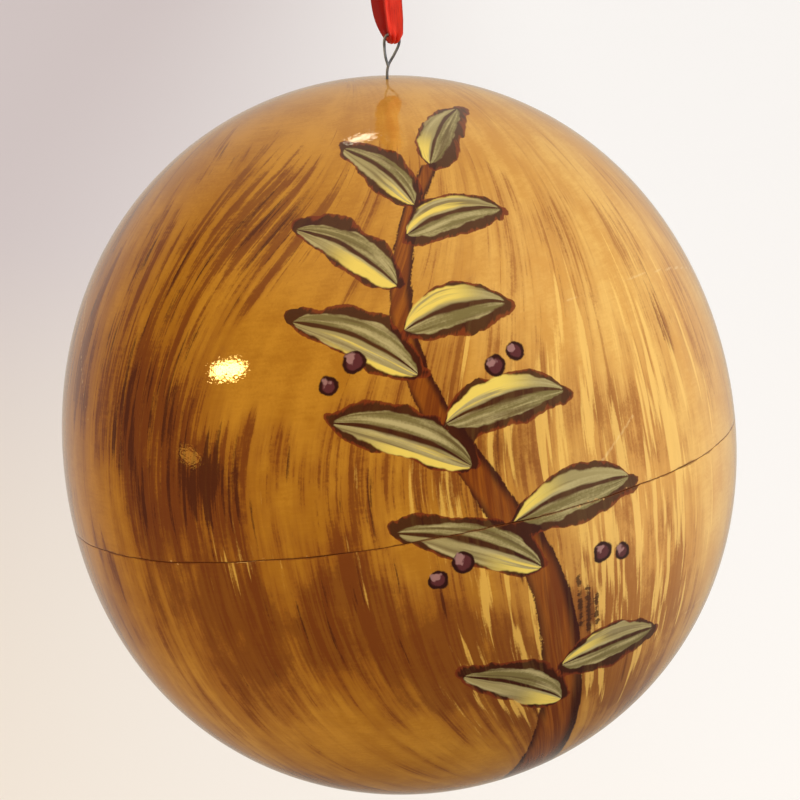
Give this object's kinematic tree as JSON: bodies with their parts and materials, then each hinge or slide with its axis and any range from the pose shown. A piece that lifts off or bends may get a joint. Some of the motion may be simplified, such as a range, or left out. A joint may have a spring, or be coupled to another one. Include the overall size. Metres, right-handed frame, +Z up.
{
  "type": "christmas bauble",
  "caption": "Hollow lacquered papier-mache Christmas bauble in two half shells, painted with a leafy sprig, hung by a red satin ribbon loop from a wire eye.",
  "frame": {"origin": "inside of the ribbon loop's top, where a hook or twig carries it", "axes": "+Z up along the hanging line through the wire eye and the ball's centre, -Y towards the painted front"},
  "size_m": [0.0803, 0.0801, 0.1272],
  "materials": {
    "lacquered_papier_mache": "gloss varnish over brown graining on an ochre ground",
    "steel_wire": "dull drawn",
    "red_satin": "satin weave"
  },
  "bodies": {
    "root": {"upper_shell": "lacquered_papier_mache", "lower_shell": "lacquered_papier_mache", "wire_eye": "steel_wire", "ribbon": "red_satin"}
  },
  "joints": []
}
